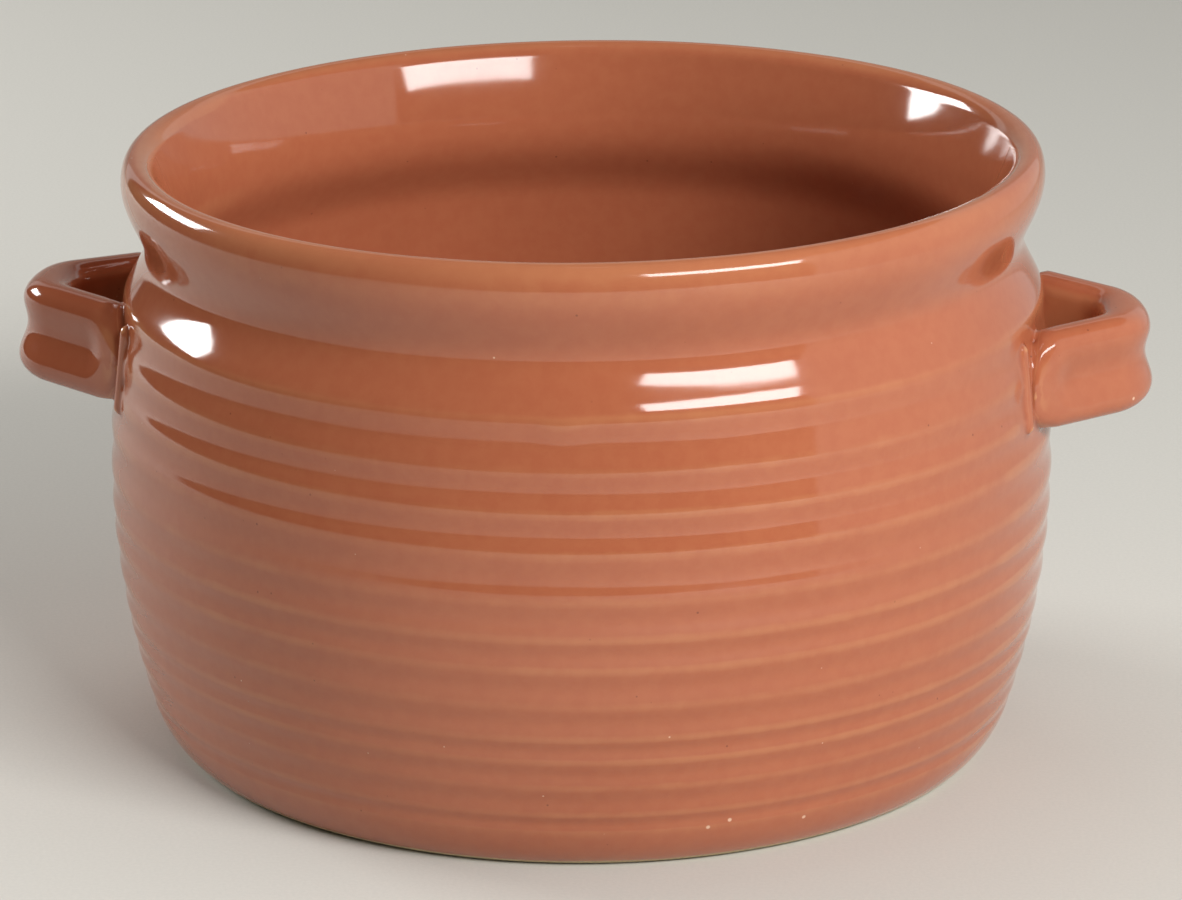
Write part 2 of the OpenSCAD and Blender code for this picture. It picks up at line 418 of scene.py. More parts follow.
class CASSEROLE_OT_throw_pot(bpy.types.Operator):
    """Spins the pot's line into the thrown wall, with rim, ridges and foot"""

    bl_idname = "casserole.throw_pot"
    bl_label = "Throw the pot"

    def execute(self, context):
        pot = context.scene.pot_sizes
        piece = draw_line("pot_wall", inside_line(pot) + outside_line(pot))
        bpy.ops.mesh.select_all(action="SELECT")
        for degrees, steps in WALL_TURNS:
            bpy.ops.mesh.spin(steps=steps, angle=math.radians(degrees), center=(0, 0, 0), axis=(0, 0, 1))
        close_and_face_out()
        lean_rim(piece, pot)
        swell_wall(piece, pot)
        flatten_foot(piece, pot)
        return {"FINISHED"}


def lean_rim(piece, pot):
    """Takes the rim a little out of level and off the axis, as it came off the wheel."""
    bpy.ops.object.mode_set(mode="EDIT")
    select_points(piece, lambda co: co.z > pot.neck_z)
    soft = dict(
        use_proportional_edit=True, proportional_edit_falloff="SMOOTH", proportional_size=pot.rim_fade
    )
    middle = (0, 0, pot.neck_z)
    bpy.ops.transform.rotate(value=pot.rim_lean, orient_axis="Y", center_override=middle, **soft)
    bpy.ops.transform.translate(value=(pot.rim_shift, 0, 0), **soft)
    bpy.ops.object.mode_set(mode="OBJECT")


def swell_wall(piece, pot):
    """Gives the wall the slight swell and dip that the hands left."""
    swell = bpy.data.textures.new("hand_swell", "CLOUDS")
    swell.noise_scale = pot.swell_size
    swell.noise_depth = 1
    apply_modifier(
        piece, "DISPLACE", texture=swell, strength=pot.unevenness, mid_level=0.5, texture_coords="LOCAL"
    )


def flatten_foot(piece, pot):
    """Presses the underside flat again, out to the foot's edge."""
    bpy.ops.object.mode_set(mode="EDIT")
    edge_r, edge_z = pot.foot_r + 0.1 * MM, 1 * MM
    select_points(piece, lambda co: co.z < edge_z and co.xy.length < edge_r)
    bpy.ops.transform.resize(value=(1, 1, 0), center_override=(0, 0, 0))
    bpy.ops.object.mode_set(mode="OBJECT")


def strap_line(sizes):
    """Section of the strap, outer face towards +X, closed, from the middle of its lower edge."""
    half_t, edge = sizes.strap_t / 2, sizes.strap_edge
    x, z = half_t - edge, sizes.strap_h / 2 - edge
    groove_w = 2 * (z - sizes.groove_land)

    def edge_round(cx, cz, start):
        turns = [math.radians(start + 15 * i) for i in range(7)]
        return [(cx + edge * math.cos(a), cz + edge * math.sin(a)) for a in turns]

    line = [(0, -sizes.strap_h / 2)] + edge_round(x, -z, -90)
    for i in range(1, 20):
        t = i / 20
        line.append((half_t - sizes.groove_depth * (1 - math.cos(2 * math.pi * t)) / 2, groove_w * (t - 0.5)))
    line += edge_round(x, z, 0) + [(0, sizes.strap_h / 2)] + edge_round(-x, z, 90)
    line += [(-half_t, z * share) for share in (0.8, 0.6, 0.4, 0.2, 0, -0.2, -0.4, -0.6, -0.8)]
    return line + edge_round(-x, -z, 180)


def leg_plan(pot, sizes):
    """Where a leg starts, the way it goes and its length to the wall."""
    turn = sizes.leg_turn
    start = Vector((sizes.bend_x + sizes.bend_r * math.cos(turn), sizes.bend_r * math.sin(turn)))
    way = Vector((-math.sin(turn), math.cos(turn)))
    seat_r = wall_at(pot, sizes.strap_z)[0] - sizes.end_sink
    slope = start.dot(way)
    reach = -slope - math.sqrt(slope * slope - start.length_squared + seat_r * seat_r)
    return start, way, reach


def tongue_share(sizes, left):
    """Height of the strap, this far from its very end, for each unit of its full height."""
    short = max(sizes.tongue_r - left, 0)
    return 1 - 2 * (sizes.tongue_r - math.sqrt(sizes.tongue_r ** 2 - short ** 2)) / sizes.strap_h


class CASSEROLE_OT_pull_handles(bpy.types.Operator):
    """Bends the grooved strap into a loop, rounds its ends and sets one on each side"""

    bl_idname = "casserole.pull_handles"
    bl_label = "Pull the handles"

    def execute(self, context):
        pot, sizes = context.scene.pot_sizes, context.scene.handle_sizes
        right, rings = pull_leg(sizes, leg_plan(pot, sizes)[2])
        fade_groove(right, sizes, rings)
        rings += draw_out_end(right, sizes, rings[-1])
        round_tongue(right, sizes, rings)
        bend_strap(right, sizes)
        gather_clay(right, sizes)
        bpy.ops.object.duplicate()
        left = context.object
        left.name = left.data.name = "strap_left"
        left.rotation_euler = (0, 0, math.pi)
        bpy.ops.object.transform_apply(location=True, rotation=True, scale=True)
        # the left one sits a little deeper and points up, the right one dips in front
        hinge = Vector((sizes.hinge_x, 0, sizes.strap_z))
        tilt(right, hinge, 0, -sizes.right_roll, (0, 0, 0))
        hinge.x = -sizes.hinge_x
        tilt(left, hinge, -sizes.left_rise, sizes.left_roll, (sizes.left_x, 0, sizes.left_z))
        return {"FINISHED"}


def pull_leg(sizes, reach):
    """Draws one leg along Y from the middle of the tip bend, and says where its rings are."""
    piece = draw_line("strap_right", [(sizes.bend_r + x, z) for x, z in strap_line(sizes)])
    bpy.ops.mesh.select_all(action="SELECT")
    bpy.ops.mesh.edge_face_add()
    bpy.ops.mesh.delete(type="ONLY_FACE")
    bpy.ops.mesh.select_all(action="SELECT")
    steps = round(reach / sizes.ring_gap)
    for _ in range(steps):
        bpy.ops.mesh.extrude_edges_move(TRANSFORM_OT_translate={"value": (0, reach / steps, 0)})
    return piece, [reach * i / steps for i in range(steps + 1)]


def fade_groove(piece, sizes, rings):
    """Lets the groove grow shallow and narrow before the strap's end."""
    face_x, flat_z = sizes.bend_r + sizes.strap_t / 2, sizes.strap_h / 2 - sizes.strap_edge
    deep_x = face_x - 1.01 * sizes.groove_depth
    stop = rings[-1] + sizes.tongue_reach - sizes.groove_stop
    for y in rings:
        share = min(max((stop - y) / sizes.groove_fade, 0), 1)
        if share < 1:
            select_points(piece, lambda co: same(co.y, y) and deep_x < co.x < face_x and abs(co.z) < flat_z)
            deep = max(share * share * (3 - 2 * share), 0.02)
            narrow = max(math.sqrt(share * (2 - share)), 0.3)
            bpy.ops.transform.resize(value=(deep, 1, narrow), center_override=(face_x, y, 0))


def draw_out_end(piece, sizes, reach):
    """Closes the leg's end, draws its outer half on to a rounded edge, and says where its rings are."""
    select_points(piece, lambda co: co.y > reach - ON_PLANE, mode="EDGE")
    bpy.ops.mesh.edge_face_add()
    select_points(piece, lambda co: co.y > reach - ON_PLANE and same(co.x, sizes.bend_r))
    bpy.ops.mesh.vert_connect_path()
    select_faces(piece, lambda centre: centre.y > reach - ON_PLANE and centre.x > sizes.bend_r)
    whole, edge = reach + sizes.tongue_reach, sizes.tongue_edge
    half_t, half_h = sizes.strap_t / 2, sizes.strap_h / 2
    plain = [(reach + (sizes.tongue_reach - edge) * i / 3, 0) for i in (1, 2, 3)]
    turns = [math.radians(15 * i) for i in range(1, 7)]
    rounded = [(whole - edge + edge * math.sin(a), edge * (1 - math.cos(a))) for a in turns]
    rings = [reach]
    before = 0
    for y, drop in plain + rounded:
        bpy.ops.mesh.extrude_region_move(TRANSFORM_OT_translate={"value": (0, y - rings[-1], 0)})
        size = ((half_t - drop) / (half_t - before), 1, (half_h - drop) / (half_h - before))
        bpy.ops.transform.resize(value=size, center_override=(sizes.bend_r, y, 0))
        rings.append(y)
        before = drop
    return rings[1:]


def round_tongue(piece, sizes, rings):
    """Rounds the strap's end like a tongue, ring by ring."""
    for y in rings:
        share = tongue_share(sizes, rings[-1] - y)
        if share < 1:
            select_points(piece, lambda co: same(co.y, y))
            bpy.ops.transform.resize(value=(1, 1, share), center_override=(0, 0, -sizes.tongue_low))


def bend_strap(piece, sizes):
    """Leans the leg in, spins half of the tip bend from it and mirrors the two."""
    bpy.ops.mesh.select_all(action="SELECT")
    middle = (sizes.bend_r, 0, 0)
    bpy.ops.transform.rotate(value=sizes.strap_lean, orient_axis="Y", center_override=middle)
    select_points(piece, lambda co: same(co.y, 0), mode="EDGE")
    bpy.ops.mesh.spin(steps=28, angle=sizes.leg_turn, center=(0, 0, 0), axis=(0, 0, 1))
    close_and_face_out()
    piece.rotation_euler = (0, 0, sizes.leg_turn)
    piece.location = (sizes.bend_x, 0, sizes.strap_z)
    bpy.ops.object.transform_apply(location=True, rotation=True, scale=True)
    apply_modifier(piece, "MIRROR", use_axis=(False, True, False), merge_threshold=ONE_POINT)


def gather_clay(piece, sizes):
    """Gathers clay inside the tip bend."""
    inner_x = sizes.bend_x + sizes.bend_r - sizes.strap_t / 2
    pick(piece)
    bpy.ops.object.mode_set(mode="EDIT")
    put_in_order()
    select_points(piece, lambda co: abs(co.y) < 0.4 * MM and co.x < inner_x + 2 * MM)
    bpy.ops.transform.translate(
        value=(-sizes.tip_swell, 0, 0), use_proportional_edit=True, use_proportional_connected=True,
        proportional_edit_falloff="SMOOTH", proportional_size=sizes.tip_swell_r,
    )
    bpy.ops.object.mode_set(mode="OBJECT")


def tilt(piece, hinge, rise, roll, move):
    """Turns a handle's tip up or down about its hinge, rolls it, and moves it."""
    pick(piece)
    bpy.ops.object.mode_set(mode="EDIT")
    bpy.ops.mesh.select_all(action="SELECT")
    bpy.ops.transform.rotate(value=rise, orient_axis="Y", center_override=hinge)
    bpy.ops.transform.rotate(value=roll, orient_axis="X", center_override=hinge)
    bpy.ops.transform.translate(value=move)
    bpy.ops.object.mode_set(mode="OBJECT")


def press(piece, place, move, reach):
    """Presses or pulls the clay around the point nearest to a place, as with a thumb."""
    pick(piece)
    nearest = min(piece.data.vertices, key=lambda point: (point.co - place).length_squared).index
    bpy.ops.object.mode_set(mode="EDIT")
    bpy.ops.mesh.select_mode(type="VERT")
    bpy.ops.mesh.select_all(action="DESELECT")
    bpy.ops.object.mode_set(mode="OBJECT")
    piece.data.vertices[nearest].select = True
    bpy.ops.object.mode_set(mode="EDIT")
    bpy.ops.transform.translate(
        value=move, use_proportional_edit=True, proportional_edit_falloff="SMOOTH", proportional_size=reach
    )
    bpy.ops.object.mode_set(mode="OBJECT")


class CASSEROLE_OT_roll_clay(bpy.types.Operator):
    """Rolls a thin coil of clay and lays one on the wall beside each handle end"""

    bl_idname = "casserole.roll_clay"
    bl_label = "Roll the clay"

    def execute(self, context):
        pot, sizes = context.scene.pot_sizes, context.scene.handle_sizes
        half = sizes.strap_h / 2 - sizes.roll_r - sizes.roll_short
        start, way, reach = leg_plan(pot, sizes)
        end = start + way * reach
        seat_r = wall_at(pot, sizes.strap_z)[0] - sizes.end_sink
        turn = math.atan2(end[1], end[0]) + (sizes.strap_t / 2 + sizes.roll_gap) / seat_r
        lean = math.asin((pot.belly_z - sizes.strap_z) / long_r(pot, sizes.strap_z))
        deselect()
        bpy.ops.mesh.primitive_uv_sphere_add(segments=28, ring_count=14, radius=sizes.roll_r)
        piece = context.object
        piece.name = piece.data.name = "clay_roll_0"
        bpy.ops.object.mode_set(mode="EDIT")
        steps = 9
        for side in (1, -1):
            select_faces(piece, lambda centre: centre.z * side > 0)
            for _ in range(steps):
                move = (0, 0, side * half / steps)
                bpy.ops.mesh.extrude_region_move(TRANSFORM_OT_translate={"value": move})
        close_and_face_out()
        piece.rotation_euler = (0, lean, turn)
        r = wall_at(pot, sizes.strap_z)[0] + sizes.roll_rise - sizes.roll_r
        piece.location = (r * math.cos(turn), r * math.sin(turn), sizes.strap_z)
        bpy.ops.object.transform_apply(location=True, rotation=True, scale=True)
        for i, around in enumerate((-2 * turn, math.pi, math.pi - 2 * turn), 1):
            pick(piece)
            bpy.ops.object.duplicate()
            copy = context.object
            copy.name = copy.data.name = f"clay_roll_{i}"
            copy.rotation_euler = (0, 0, around)
            bpy.ops.object.transform_apply(location=True, rotation=True, scale=True)
        return {"FINISHED"}


class CASSEROLE_OT_join_clay(bpy.types.Operator):
    """Joins the handles and rolls to the pot and softens the joints as glaze does"""

    bl_idname = "casserole.join_clay"
    bl_label = "Join the clay"

    def execute(self, context):
        pot = context.scene.pot_sizes
        names = ["strap_right", "strap_left"] + [f"clay_roll_{i}" for i in range(4)]
        pick(*(bpy.data.objects[name] for name in names))
        bpy.ops.object.join()
        added = context.object
        piece = bpy.data.objects["pot_wall"]
        apply_modifier(piece, "BOOLEAN", operation="UNION", solver="EXACT", object=added)
        bpy.data.objects.remove(added)
        piece.name = piece.data.name = "casserole_glazed"
        soften_joints(piece, pot.crease)
        press(piece, Vector(pot.thumb_mark), pot.thumb_push, pot.thumb_fade)
        press(piece, Vector(pot.ridge_wave), pot.wave_push, pot.wave_fade)
        pick(piece)
        bpy.ops.object.shade_smooth()
        mark_thin_glaze(piece)
        piece.data.materials.clear()
        piece.data.materials.append(glaze_material(context.scene.glaze_colours))
        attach(piece, "root")
        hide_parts("casserole")
        return {"FINISHED"}


def soften_joints(piece, crease):
    """Rounds the creases where straps and rolls meet the wall, first widely and then closely."""
    pick(piece)
    bpy.ops.object.mode_set(mode="EDIT")
    bpy.ops.mesh.select_all(action="SELECT")
    bpy.ops.mesh.remove_doubles(threshold=2.5 * ONE_POINT)
    for grow, repeat in ((3, 4), (1, 6)):
        bpy.ops.mesh.select_mode(type="EDGE")
        bpy.ops.mesh.select_all(action="DESELECT")
        bpy.ops.mesh.edges_select_sharp(sharpness=crease)
        for _ in range(grow):
            bpy.ops.mesh.select_more()
        bpy.ops.mesh.vertices_smooth(factor=0.5, repeat=repeat)
    bpy.ops.object.mode_set(mode="OBJECT")


def mark_thin_glaze(piece):
    """Writes to thin_glaze how sharply each point bulges: one over its radius in millimetres.

    Hollows are negative. A point sharper than the sharpest counts as that, and a few rounds of
    sharing with the points beside it even it out.
    """
    mesh, sharpest, rounds = piece.data, 0.6 / MM, 3
    total = len(mesh.vertices)
    place, facing = np.empty(total * 3), np.empty(total * 3)
    mesh.vertices.foreach_get("co", place)
    mesh.vertices.foreach_get("normal", facing)
    place, facing = place.reshape(-1, 3), facing.reshape(-1, 3)
    ends = np.empty(len(mesh.edges) * 2, dtype=np.int64)
    mesh.edges.foreach_get("vertices", ends)
    a, b = ends.reshape(-1, 2).T
    step = place[b] - place[a]
    span = np.maximum((step * step).sum(1), 1e-10)
    bulge, weight = np.zeros(total), np.zeros(total)
    for here, way in ((a, -1), (b, 1)):
        turn = way * 2 * (step * facing[here]).sum(1) / span
        np.add.at(bulge, here, turn * np.sqrt(span))
        np.add.at(weight, here, np.sqrt(span))
    bulge = np.clip(bulge / np.maximum(weight, 1e-9), -sharpest, sharpest) * MM
    for _ in range(rounds):
        spread, share = bulge.copy(), np.ones(total)
        np.add.at(spread, a, bulge[b])
        np.add.at(spread, b, bulge[a])
        np.add.at(share, a, 1)
        np.add.at(share, b, 1)
        bulge = spread / share
    layer = mesh.attributes.new(name="thin_glaze", type="FLOAT", domain="POINT")
    layer.data.foreach_set("value", bulge.astype(np.float32))


# Glaze


class NodeSheet:
    """Lays out one material's nodes, each from its inputs, and hands on the outputs."""

    def __init__(self, name):
        self.material = bpy.data.materials.new(name)
        self.material.use_nodes = True
        self.nodes, self.links = self.material.node_tree.nodes, self.material.node_tree.links
        self.nodes.clear()

    def add(self, kind, inputs=None, **settings):
        node = self.nodes.new("ShaderNode" + kind)
        for key, value in settings.items():
            setattr(node, key, value)
        for key, value in (inputs or {}).items():
            socket = node.inputs[key]
            if isinstance(value, bpy.types.NodeSocket):
                self.links.new(value, socket)
            else:
                socket.default_value = value
        return node

    def noise(self, place, scale, detail=2.0, roughness=0.5):
        settings = {"Vector": place, "Scale": scale, "Detail": detail, "Roughness": roughness}
        return self.add("TexNoise", settings).outputs["Fac"]

    def stretch(self, place, scale):
        return self.add("Mapping", {"Vector": place, "Scale": scale}).outputs[0]

    def ramp(self, value, low, high, to_low=0.0, to_high=1.0):
        settings = {"Value": value, "From Min": low, "From Max": high, "To Min": to_low, "To Max": to_high}
        return self.add("MapRange", settings, interpolation_type="SMOOTHSTEP").outputs[0]

    def math(self, operation, first, second):
        return self.add("Math", {0: first, 1: second}, operation=operation).outputs[0]

    def spot(self, place, where, radius, squash=1.0):
        """A small soft mark round this place; a squash under 1 draws it out upright."""
        there = (where[0], where[1], where[2] * squash)
        far = self.add("VectorMath", {0: self.stretch(place, (1, 1, squash)), 1: there}, operation="DISTANCE")
        return self.ramp(far.outputs["Value"], radius * 0.5, radius, 0.9, 0.0)

    def mix(self, share, first, second):
        """The first colour, with this share of it replaced by the second."""
        node = self.add("Mix", data_type="RGBA")
        for index, value in ((0, share), (6, first), (7, second)):
            if isinstance(value, bpy.types.NodeSocket):
                self.links.new(value, node.inputs[index])
            else:
                node.inputs[index].default_value = value
        return node.outputs[2]


def rgb(value):
    return (*value, 1.0)


def mottled(sheet, place, colours):
    """Glaze where it lies even, with soft blotches and a fine cloud."""
    glaze, pooled_and_shade, thin = rgb(colours.glaze), rgb(colours.pooled_and_shade), rgb(colours.thin)
    blotch = sheet.ramp(sheet.noise(place, 14, 3), 0.35, 0.7, 0.0, 0.16)
    cloud = sheet.ramp(sheet.noise(place, 260, 4, 0.6), 0.3, 0.7)
    return sheet.mix(0.07, sheet.mix(blotch, glaze, pooled_and_shade), sheet.mix(cloud, pooled_and_shade, thin))


def thinned(sheet, place, away, hue, colours):
    """Thin, pale glaze in ragged patches on the ridges and on all edges, and pooled glaze in hollows."""
    thin = sheet.add("Attribute", attribute_name="thin_glaze").outputs["Fac"]
    ragged = sheet.math("MULTIPLY", sheet.noise(place, 110, 4, 0.65), 0.014)
    bulge = sheet.math("ADD", thin, ragged)
    patchy = sheet.ramp(sheet.noise(place, 9, 2), 0.35, 0.65, 0.12, 0.38)
    on_wall = sheet.ramp(away, 131 * MM, 133 * MM, 1.0, 0.0)
    ridge = sheet.math("MULTIPLY", sheet.ramp(bulge, 0.022, 0.036), sheet.ramp(bulge, 0.05, 0.08, 1.0, 0.0))
    ridge = sheet.math("MULTIPLY", ridge, sheet.math("MULTIPLY", patchy, on_wall))
    edge = sheet.ramp(bulge, 0.22, 0.42, 0.0, 0.75)
    hue = sheet.mix(sheet.math("MAXIMUM", ridge, edge), hue, rgb(colours.thin))
    hollow = sheet.ramp(thin, -0.14, -0.03, 0.4, 0.0)
    return sheet.mix(hollow, hue, rgb(colours.pooled_and_shade))


def thin_inside_and_shaded_left(sheet, place, away, hue, colours):
    """Glaze that ran thin inside the handles, and painted shade that darkens the left handle."""
    facing = sheet.add("NewGeometry").outputs["Normal"]
    outward = sheet.add("VectorMath", {0: facing, 1: place}, operation="DOT_PRODUCT").outputs["Value"]
    on_handle = sheet.ramp(away, 127 * MM, 130 * MM)
    inner = sheet.math("MULTIPLY", sheet.ramp(outward, -0.05, 0.02, 0.5, 0.0), on_handle)
    hue = sheet.mix(inner, hue, rgb(colours.thin))
    # painted shade: left of 126 mm from the axis the glaze darkens, half way to the pooled colour past 134 mm
    side = sheet.add("SeparateXYZ", {"Vector": place}).outputs[0]
    return sheet.mix(sheet.ramp(side, -134 * MM, -126 * MM, 0.5, 0.0), hue, rgb(colours.pooled_and_shade))


def pitted(sheet, place, hue, colours):
    """Dark specks, pale pinholes and this pot's own dots and scar. Returns the pinholes too."""
    spots = sheet.add("TexVoronoi", {"Vector": place, "Scale": 260.0}, feature="F1")
    kind = sheet.add("SeparateColor", {"Color": spots.outputs["Color"]})
    far = spots.outputs["Distance"]
    speck, hole = sheet.ramp(kind.outputs[0], 0.88, 0.95), sheet.ramp(kind.outputs[1], 0.95, 0.98)
    speck = sheet.math("MULTIPLY", sheet.ramp(far, 0.05, 0.11, 1.0, 0.0), speck)
    hole = sheet.math("MULTIPLY", sheet.ramp(far, 0.04, 0.09, 1.0, 0.0), hole)
    hue = sheet.mix(sheet.math("MULTIPLY", speck, 0.6), hue, rgb(colours.speck))
    hue = sheet.mix(sheet.math("MULTIPLY", hole, 0.8), hue, rgb(colours.pinhole))
    for where in (colours.dot_handle, colours.dot_low, colours.dot_mid, colours.dot_right):
        hue = sheet.mix(sheet.spot(place, where, colours.dot_r), hue, rgb(colours.pinhole))
    scar = sheet.spot(place, colours.scar_place, colours.scar_r, 0.15)
    return sheet.mix(scar, hue, rgb(colours.scar)), hole


def bare_foot(sheet, place, hue, colours):
    """Bare clay under the foot, up to an uneven line. Returns where it is bare too."""
    height = sheet.add("SeparateXYZ", {"Vector": place}).outputs[2]
    uneven = sheet.math("MULTIPLY", sheet.noise(place, 45, 3), 1.2 * MM)
    bare = sheet.ramp(sheet.math("ADD", height, uneven), 1.9 * MM, 2.6 * MM, 1.0, 0.0)
    grain = sheet.ramp(sheet.noise(place, 900, 3), 0.3, 0.75)
    clay = sheet.mix(grain, rgb(colours.bare), rgb(Vector(colours.bare) * 0.72))
    return sheet.mix(bare, hue, clay), bare


def glaze_surface(sheet, place, hole, bare):
    """The faint waviness of the glaze, its pits, and the grain of the clay."""
    wave = sheet.math("MULTIPLY", sheet.noise(place, 70, 2), 0.03 * MM)
    peel = sheet.math("MULTIPLY", sheet.noise(place, 420, 2), 0.002 * MM)
    grain = sheet.math("MULTIPLY", sheet.noise(place, 1500, 3, 0.7), bare)
    depth = sheet.math("SUBTRACT", sheet.math("ADD", wave, peel), sheet.math("MULTIPLY", hole, 0.05 * MM))
    depth = sheet.math("ADD", depth, sheet.math("MULTIPLY", grain, 0.1 * MM))
    return sheet.add("Bump", {"Height": depth, "Strength": 1.0, "Distance": 1.0}).outputs[0]


def glaze_material(colours):
    """Glossy terracotta glaze, which leaves the foot bare."""
    sheet = NodeSheet("terracotta_glaze")
    place = sheet.add("TexCoord").outputs["Object"]
    level = sheet.stretch(place, (1, 1, 0))
    away = sheet.add("VectorMath", {0: level}, operation="LENGTH").outputs["Value"]
    hue = mottled(sheet, place, colours)
    hue = thinned(sheet, place, away, hue, colours)
    hue = thin_inside_and_shaded_left(sheet, place, away, hue, colours)
    hue, hole = pitted(sheet, place, hue, colours)
    hue, bare = bare_foot(sheet, place, hue, colours)
    normal = glaze_surface(sheet, place, hole, bare)
    gloss = sheet.ramp(sheet.noise(place, 30, 3), 0.3, 0.7, colours.gloss * 0.8, colours.gloss * 1.25)
    gloss = sheet.math("ADD", gloss, sheet.math("MULTIPLY", bare, 0.8))
    look = {"Base Color": hue, "Roughness": gloss, "Normal": normal, "IOR": 1.6}
    shader = sheet.add("BsdfPrincipled", look)
    sheet.add("OutputMaterial", {"Surface": shader.outputs[0]})
    return sheet.material


# Stage


def direction(turn, rise):
    """A way out from the pot, turned from the front to the right, in degrees."""
    a, e = math.radians(turn), math.radians(rise)
    return Vector((math.sin(a) * math.cos(e), -math.cos(a) * math.cos(e), math.sin(e)))


def softbox(name, where, size, brightness, roll=0.0, mirrored=True):
    """A lamp with a plain rectangular face of this brightness, aimed at the pot.

    where is its turn from the front and its rise in degrees, and its distance in metres.
    """
    deselect()
    way = direction(*where[:2])
    middle = Vector((0, 0, 0.1))
    bpy.ops.object.light_add(type="AREA", location=middle + way * where[2])
    lamp = bpy.context.object
    lamp.name = lamp.data.name = name
    lamp.rotation_mode = "QUATERNION"
    lamp.rotation_quaternion = (-way).to_track_quat("-Z", "Y") @ Quaternion((0, 0, 1), math.radians(roll))
    lamp.data.shape = "RECTANGLE"
    lamp.data.size, lamp.data.size_y = size
    lamp.data.energy = brightness * math.pi * size[0] * size[1]
    lamp.visible_glossy = mirrored


def paper_material(colours):
    """Pale seamless paper with a faint fibre, clear from behind so that it never hides the pot."""
    sheet = NodeSheet("pale_paper")
    place = sheet.add("TexCoord").outputs["Object"]
    fibre = sheet.noise(place, 900, 3, 0.6)
    shade = sheet.mix(sheet.ramp(fibre, 0.3, 0.7), rgb(colours.floor), rgb(Vector(colours.floor) * 0.96))
    bump = sheet.add("Bump", {"Height": fibre, "Strength": 0.2, "Distance": 0.0002})
    shader = sheet.add("BsdfPrincipled", {"Base Color": shade, "Roughness": 0.85, "Normal": bump.outputs[0]})
    behind = sheet.add("NewGeometry").outputs["Backfacing"]
    clear = sheet.add("BsdfTransparent")
    sides = sheet.add("MixShader", {0: behind, 1: shader.outputs[0], 2: clear.outputs[0]})
    sheet.add("OutputMaterial", {"Surface": sides.outputs[0]})
    return sheet.material


def plain_material(name, value):
    sheet = NodeSheet(name)
    shader = sheet.add("BsdfPrincipled", {"Base Color": rgb(value), "Roughness": 1.0})
    sheet.add("OutputMaterial", {"Surface": shader.outputs[0]})
    return sheet.material


def lay_paper(stage):
    """Pale paper, level in front and swept up behind. Its sizes are in metres."""
    deselect()
    bpy.ops.mesh.primitive_plane_add(size=1)
    paper = bpy.context.object
    paper.name = paper.data.name = "paper"
    width, depth, far_y, sweep_r = 1.85, 2.35, 1.3, 0.9
    paper.scale = (width, depth, 1)
    paper.location = (-0.125, far_y - depth / 2, 0)
    bpy.ops.object.transform_apply(location=True, rotation=True, scale=True)
    bpy.ops.object.mode_set(mode="EDIT")
    select_points(paper, lambda co: co.y > 0, mode="EDGE")
    bpy.ops.mesh.spin(steps=16, angle=math.radians(80), center=(0, far_y, sweep_r), axis=(-1, 0, 0))
    bpy.ops.mesh.extrude_edges_move(TRANSFORM_OT_translate={"value": (0, 0.15, 0.85)})
    bpy.ops.mesh.select_all(action="SELECT")
    bpy.ops.mesh.remove_doubles(threshold=ON_PLANE)
    bpy.ops.mesh.normals_make_consistent(inside=False)
    bpy.ops.object.mode_set(mode="OBJECT")
    if paper.data.polygons[0].normal.z < 0:
        bpy.ops.object.mode_set(mode="EDIT")
        bpy.ops.mesh.flip_normals()
        bpy.ops.object.mode_set(mode="OBJECT")
    bpy.ops.object.shade_smooth()
    paper.data.materials.append(paper_material(stage))


def hang_surround(stage):
    """The dark surround, which only the glaze mirrors: a ceiling, and a wall round one side."""
    room = draw_line("dark_room", [(0.15, stage.room_z), (stage.room_r, stage.room_z)])
    bpy.ops.mesh.select_all(action="SELECT")
    bpy.ops.mesh.spin(steps=72, angle=math.tau, center=(0, 0, 0), axis=(0, 0, -1))
    bpy.ops.mesh.select_all(action="SELECT")
    bpy.ops.mesh.remove_doubles(threshold=1 * MM)

    def under_rim(co):
        turn = math.atan2(co.x, -co.y)
        return co.xy.length > stage.room_r / 2 and stage.room_from < turn < stage.room_to

    select_points(room, under_rim, mode="EDGE")
    bpy.ops.mesh.extrude_edges_move(TRANSFORM_OT_translate={"value": (0, 0, -stage.room_drop)})
    bpy.ops.object.mode_set(mode="OBJECT")
    room.data.materials.append(plain_material("dark_wall", stage.shade))
    room.visible_camera = room.visible_diffuse = room.visible_shadow = False


def light_world(scene, stage):
    """A world that lights the pot faintly and that the glaze and the camera see brighter."""
    world = bpy.data.worlds.new("studio")
    scene.world = world
    world.use_nodes = True
    nodes, links = world.node_tree.nodes, world.node_tree.links
    background = nodes["Background"]
    path = nodes.new("ShaderNodeLightPath")
    seen = nodes.new("ShaderNodeMath")
    seen.operation = "MAXIMUM"
    links.new(path.outputs["Is Camera Ray"], seen.inputs[0])
    links.new(path.outputs["Is Glossy Ray"], seen.inputs[1])
    strength = nodes.new("ShaderNodeMapRange")
    strength.inputs["To Min"].default_value = stage.near_glow
    strength.inputs["To Max"].default_value = stage.far_glow
    links.new(seen.outputs[0], strength.inputs["Value"])
    links.new(strength.outputs[0], background.inputs["Strength"])
    background.inputs["Color"].default_value = (1.0, 0.985, 0.95, 1)


def set_camera(scene, stage):
    """The camera, at the photograph's viewing angle."""
    deselect()
    bpy.ops.object.camera_add()
    camera = bpy.context.object
    camera.name = camera.data.name = "camera"
    turn = stage.camera_turn
    out = Vector((math.sin(turn), -math.cos(turn), 0)) * stage.camera_distance
    camera.location = (out.x, out.y, stage.camera_height)
    camera.rotation_euler = (math.pi / 2 - stage.camera_pitch, stage.camera_roll, turn - stage.camera_aim)
    camera.data.lens = stage.lens
    camera.data.sensor_width = stage.sensor
    scene.camera = camera


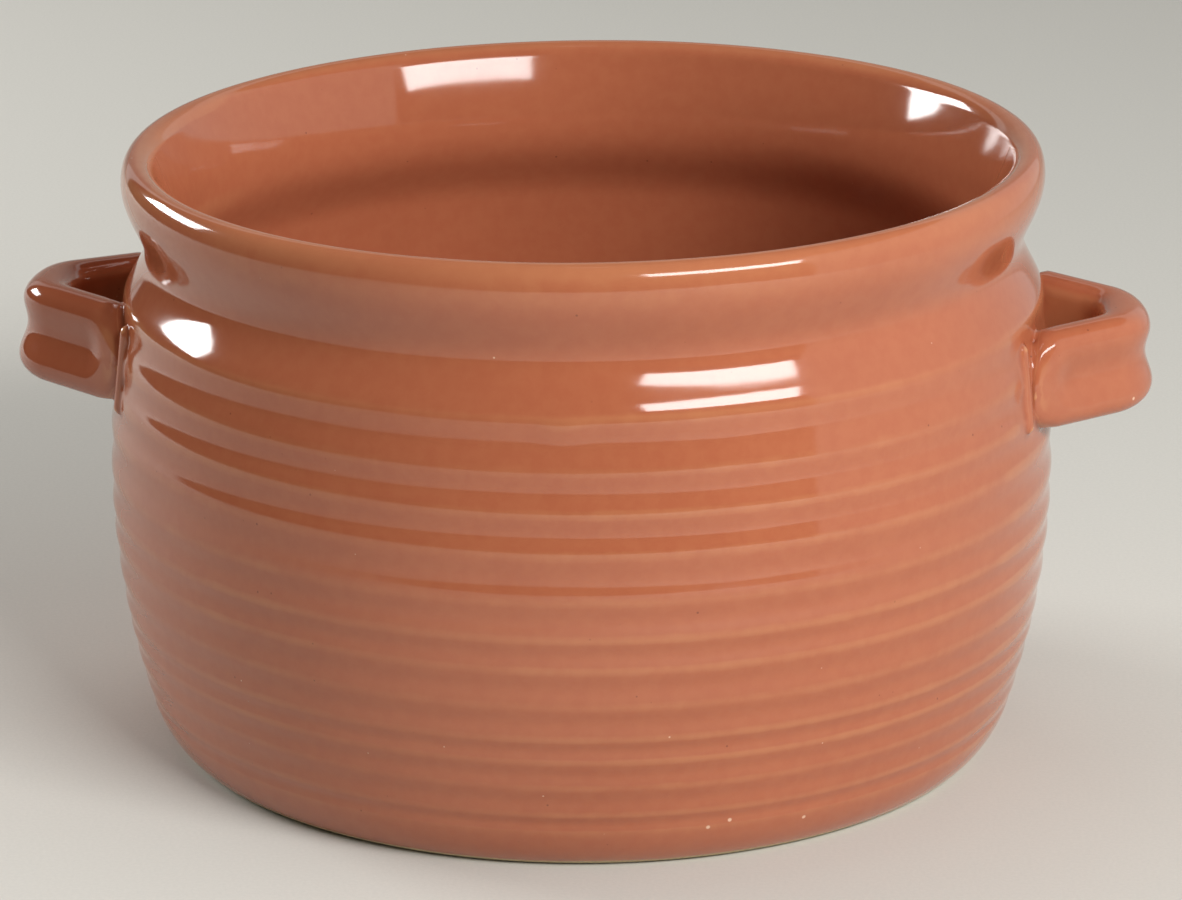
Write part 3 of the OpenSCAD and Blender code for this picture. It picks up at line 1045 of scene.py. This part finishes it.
class CASSEROLE_OT_set_stage(bpy.types.Operator):
    """Lays the pale paper, hangs the softboxes and sets the camera"""

    bl_idname = "casserole.set_stage"
    bl_label = "Set the stage"

    def execute(self, context):
        scene, stage = context.scene, context.scene.stage_settings
        lay_paper(stage)
        hang_surround(stage)
        softbox("softbox_right", (39, 31, 1.7), (1.06, 0.29), 14, roll=-7)
        softbox("key", (39, 31, 1.7), (1.06, 0.5), 10.3, mirrored=False)
        softbox("softbox_left", (-116, 17.5, 1.7), (0.8, 0.4), 17)
        softbox("overhead", (-150, 75, 1.9), (1.4, 1.4), 1.4, mirrored=False)
        softbox("wall_right", (74, 24, 2.2), (2.2, 1.9), 1.0, mirrored=False)
        light_world(scene, stage)
        set_camera(scene, stage)
        scene.view_settings.view_transform = "Standard"
        return {"FINISHED"}


class VIEW3D_PT_casserole(bpy.types.Panel):
    """Sizes, colours and steps of the casserole"""

    bl_label = "Casserole"
    bl_space_type = "VIEW_3D"
    bl_region_type = "UI"
    bl_category = "Casserole"

    def draw(self, context):
        layout = self.layout
        for group in ("pot_sizes", "handle_sizes", "glaze_colours", "stage_settings"):
            settings = getattr(context.scene, group)
            box = layout.box()
            for key in settings.bl_rna.properties.keys():
                if key not in ("rna_type", "name"):
                    box.prop(settings, key)
        for step in STEPS:
            layout.operator(step.bl_idname)


GROUPS = {
    "pot_sizes": PotSizes,
    "handle_sizes": HandleSizes,
    "glaze_colours": GlazeColours,
    "stage_settings": StageSettings,
}
STEPS = (
    CASSEROLE_OT_throw_pot,
    CASSEROLE_OT_pull_handles,
    CASSEROLE_OT_roll_clay,
    CASSEROLE_OT_join_clay,
    CASSEROLE_OT_set_stage,
)


def register():
    for kind in (*GROUPS.values(), *STEPS, VIEW3D_PT_casserole):
        bpy.utils.register_class(kind)
    for name, kind in GROUPS.items():
        setattr(bpy.types.Scene, name, bpy.props.PointerProperty(type=kind))


def unregister():
    for name in GROUPS:
        delattr(bpy.types.Scene, name)
    for kind in (VIEW3D_PT_casserole, *reversed(STEPS), *GROUPS.values()):
        bpy.utils.unregister_class(kind)


def main():
    register()
    bpy.ops.casserole.throw_pot()
    bpy.ops.casserole.pull_handles()
    bpy.ops.casserole.roll_clay()
    bpy.ops.casserole.join_clay()
    bpy.ops.casserole.set_stage()


if __name__ == "__main__":
    main()
